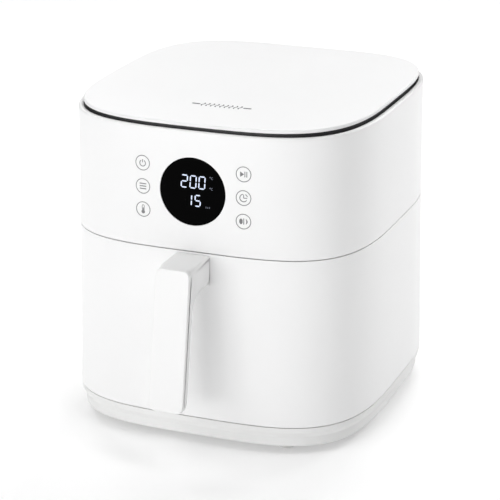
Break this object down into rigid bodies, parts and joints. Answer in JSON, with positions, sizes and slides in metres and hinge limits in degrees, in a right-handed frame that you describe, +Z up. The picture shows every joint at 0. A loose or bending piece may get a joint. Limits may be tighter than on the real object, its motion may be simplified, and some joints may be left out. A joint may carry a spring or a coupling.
{
  "type": "air fryer",
  "caption": "Countertop hot-air fryer: rounded-square body with touch panel and round display over a pull-out pan drawer with a drop handle.",
  "frame": {"origin": "centre of the overall box, handle included, on the surface the feet stand on", "axes": "+Z up, -Y towards the user (drawer and handle), +X to the right as seen from the front"},
  "size_m": [0.288, 0.3728, 0.3032],
  "materials": {
    "white_shell": "satin white, very fine spark texture",
    "cover_white": "satin white",
    "base_plastic": "matt off-white",
    "handle_white": "satin white",
    "black_plastic": "matt black",
    "display_acrylic": "polished black",
    "foot_rubber": "matt light grey",
    "nonstick_coat": "satin black non-stick coating",
    "bumper_silicone": "matt black silicone",
    "zinc_steel": "plain galvanised sheet",
    "heater_steel": "oxidised dark steel",
    "fan_aluminium": "stamped, bright",
    "motor_iron": "laminated, varnished",
    "copper_coil": "enamelled copper winding",
    "sleeve_brass": "sintered bronze",
    "circuit_board": "green solder mask"
  },
  "bodies": {
    "housing": {"base_pan": "base_plastic", "base_screw_1": "zinc_steel", "base_screw_2": "zinc_steel", "base_screw_3": "zinc_steel", "base_screw_4": "zinc_steel", "foot_1": "foot_rubber", "foot_2": "foot_rubber", "foot_3": "foot_rubber", "foot_4": "foot_rubber", "lower_housing": "white_shell", "upper_housing": "white_shell", "intake_ring": "black_plastic", "top_cover": "cover_white", "rear_vent": "black_plastic", "cord_gland": "black_plastic", "cavity_shell": "zinc_steel", "left_rail": "zinc_steel", "right_rail": "zinc_steel", "chamber_liner": "zinc_steel", "heat_shield": "zinc_steel", "heater_guard": "zinc_steel", "heating_element": "heater_steel", "heater_clip_1": "zinc_steel", "heater_clip_2": "zinc_steel", "thermal_cutout": "zinc_steel", "temperature_probe": "zinc_steel", "motor_stator": "motor_iron", "motor_coil": "copper_coil", "motor_bracket_lower": "zinc_steel", "motor_bracket_upper": "zinc_steel", "motor_bearing_lower": "sleeve_brass", "motor_bearing_upper": "sleeve_brass", "display_window": "display_acrylic", "display_module": "black_plastic", "control_board": "circuit_board", "left_touch_strip": "bumper_silicone", "right_touch_strip": "bumper_silicone", "power_board": "circuit_board", "relay": "black_plastic", "transformer": "motor_iron", "interlock_switch": "black_plastic"},
    "rotor": {"motor_shaft": "zinc_steel", "motor_rotor": "motor_iron", "convection_fan": "fan_aluminium", "cooling_fan": "fan_aluminium", "fan_nut": "zinc_steel"},
    "lever": {"interlock_lever": "bumper_silicone"},
    "drawer": {"drawer_front": "white_shell", "front_backing": "base_plastic", "pan_bracket": "zinc_steel", "frying_pan": "nonstick_coat", "handle_cover": "handle_white", "handle_body": "handle_white", "handle_screw_1": "zinc_steel", "handle_screw_2": "zinc_steel"},
    "plate": {"crisper_plate": "nonstick_coat", "plate_bumper_1": "bumper_silicone", "plate_bumper_2": "bumper_silicone", "plate_bumper_3": "bumper_silicone", "plate_bumper_4": "bumper_silicone"}
  },
  "joints": [
    {"name": "drawer_slide", "type": "slide", "parent": "housing", "child": "drawer", "axis": [0, -1, 0], "range_m": [0, 0.24]},
    {"name": "plate_lift", "type": "slide", "parent": "drawer", "child": "plate", "axis": [0, 0, 1], "range_m": [0, 0.11]},
    {"name": "fan_spin", "type": "hinge", "parent": "housing", "child": "rotor", "pos_m": [0, 0.03443, 0.25], "axis": [0, 0, 1], "continuous": true},
    {"name": "lever_swing", "type": "hinge", "parent": "housing", "child": "lever", "pos_m": [0.1222, -0.06557, 0.118], "axis": [-1, 0, 0], "range_deg": [0, 12]}
  ],
  "couplings": [
    {"joint": "lever_swing", "follows": "drawer_slide", "rad_per_m": 0.8333}
  ]
}
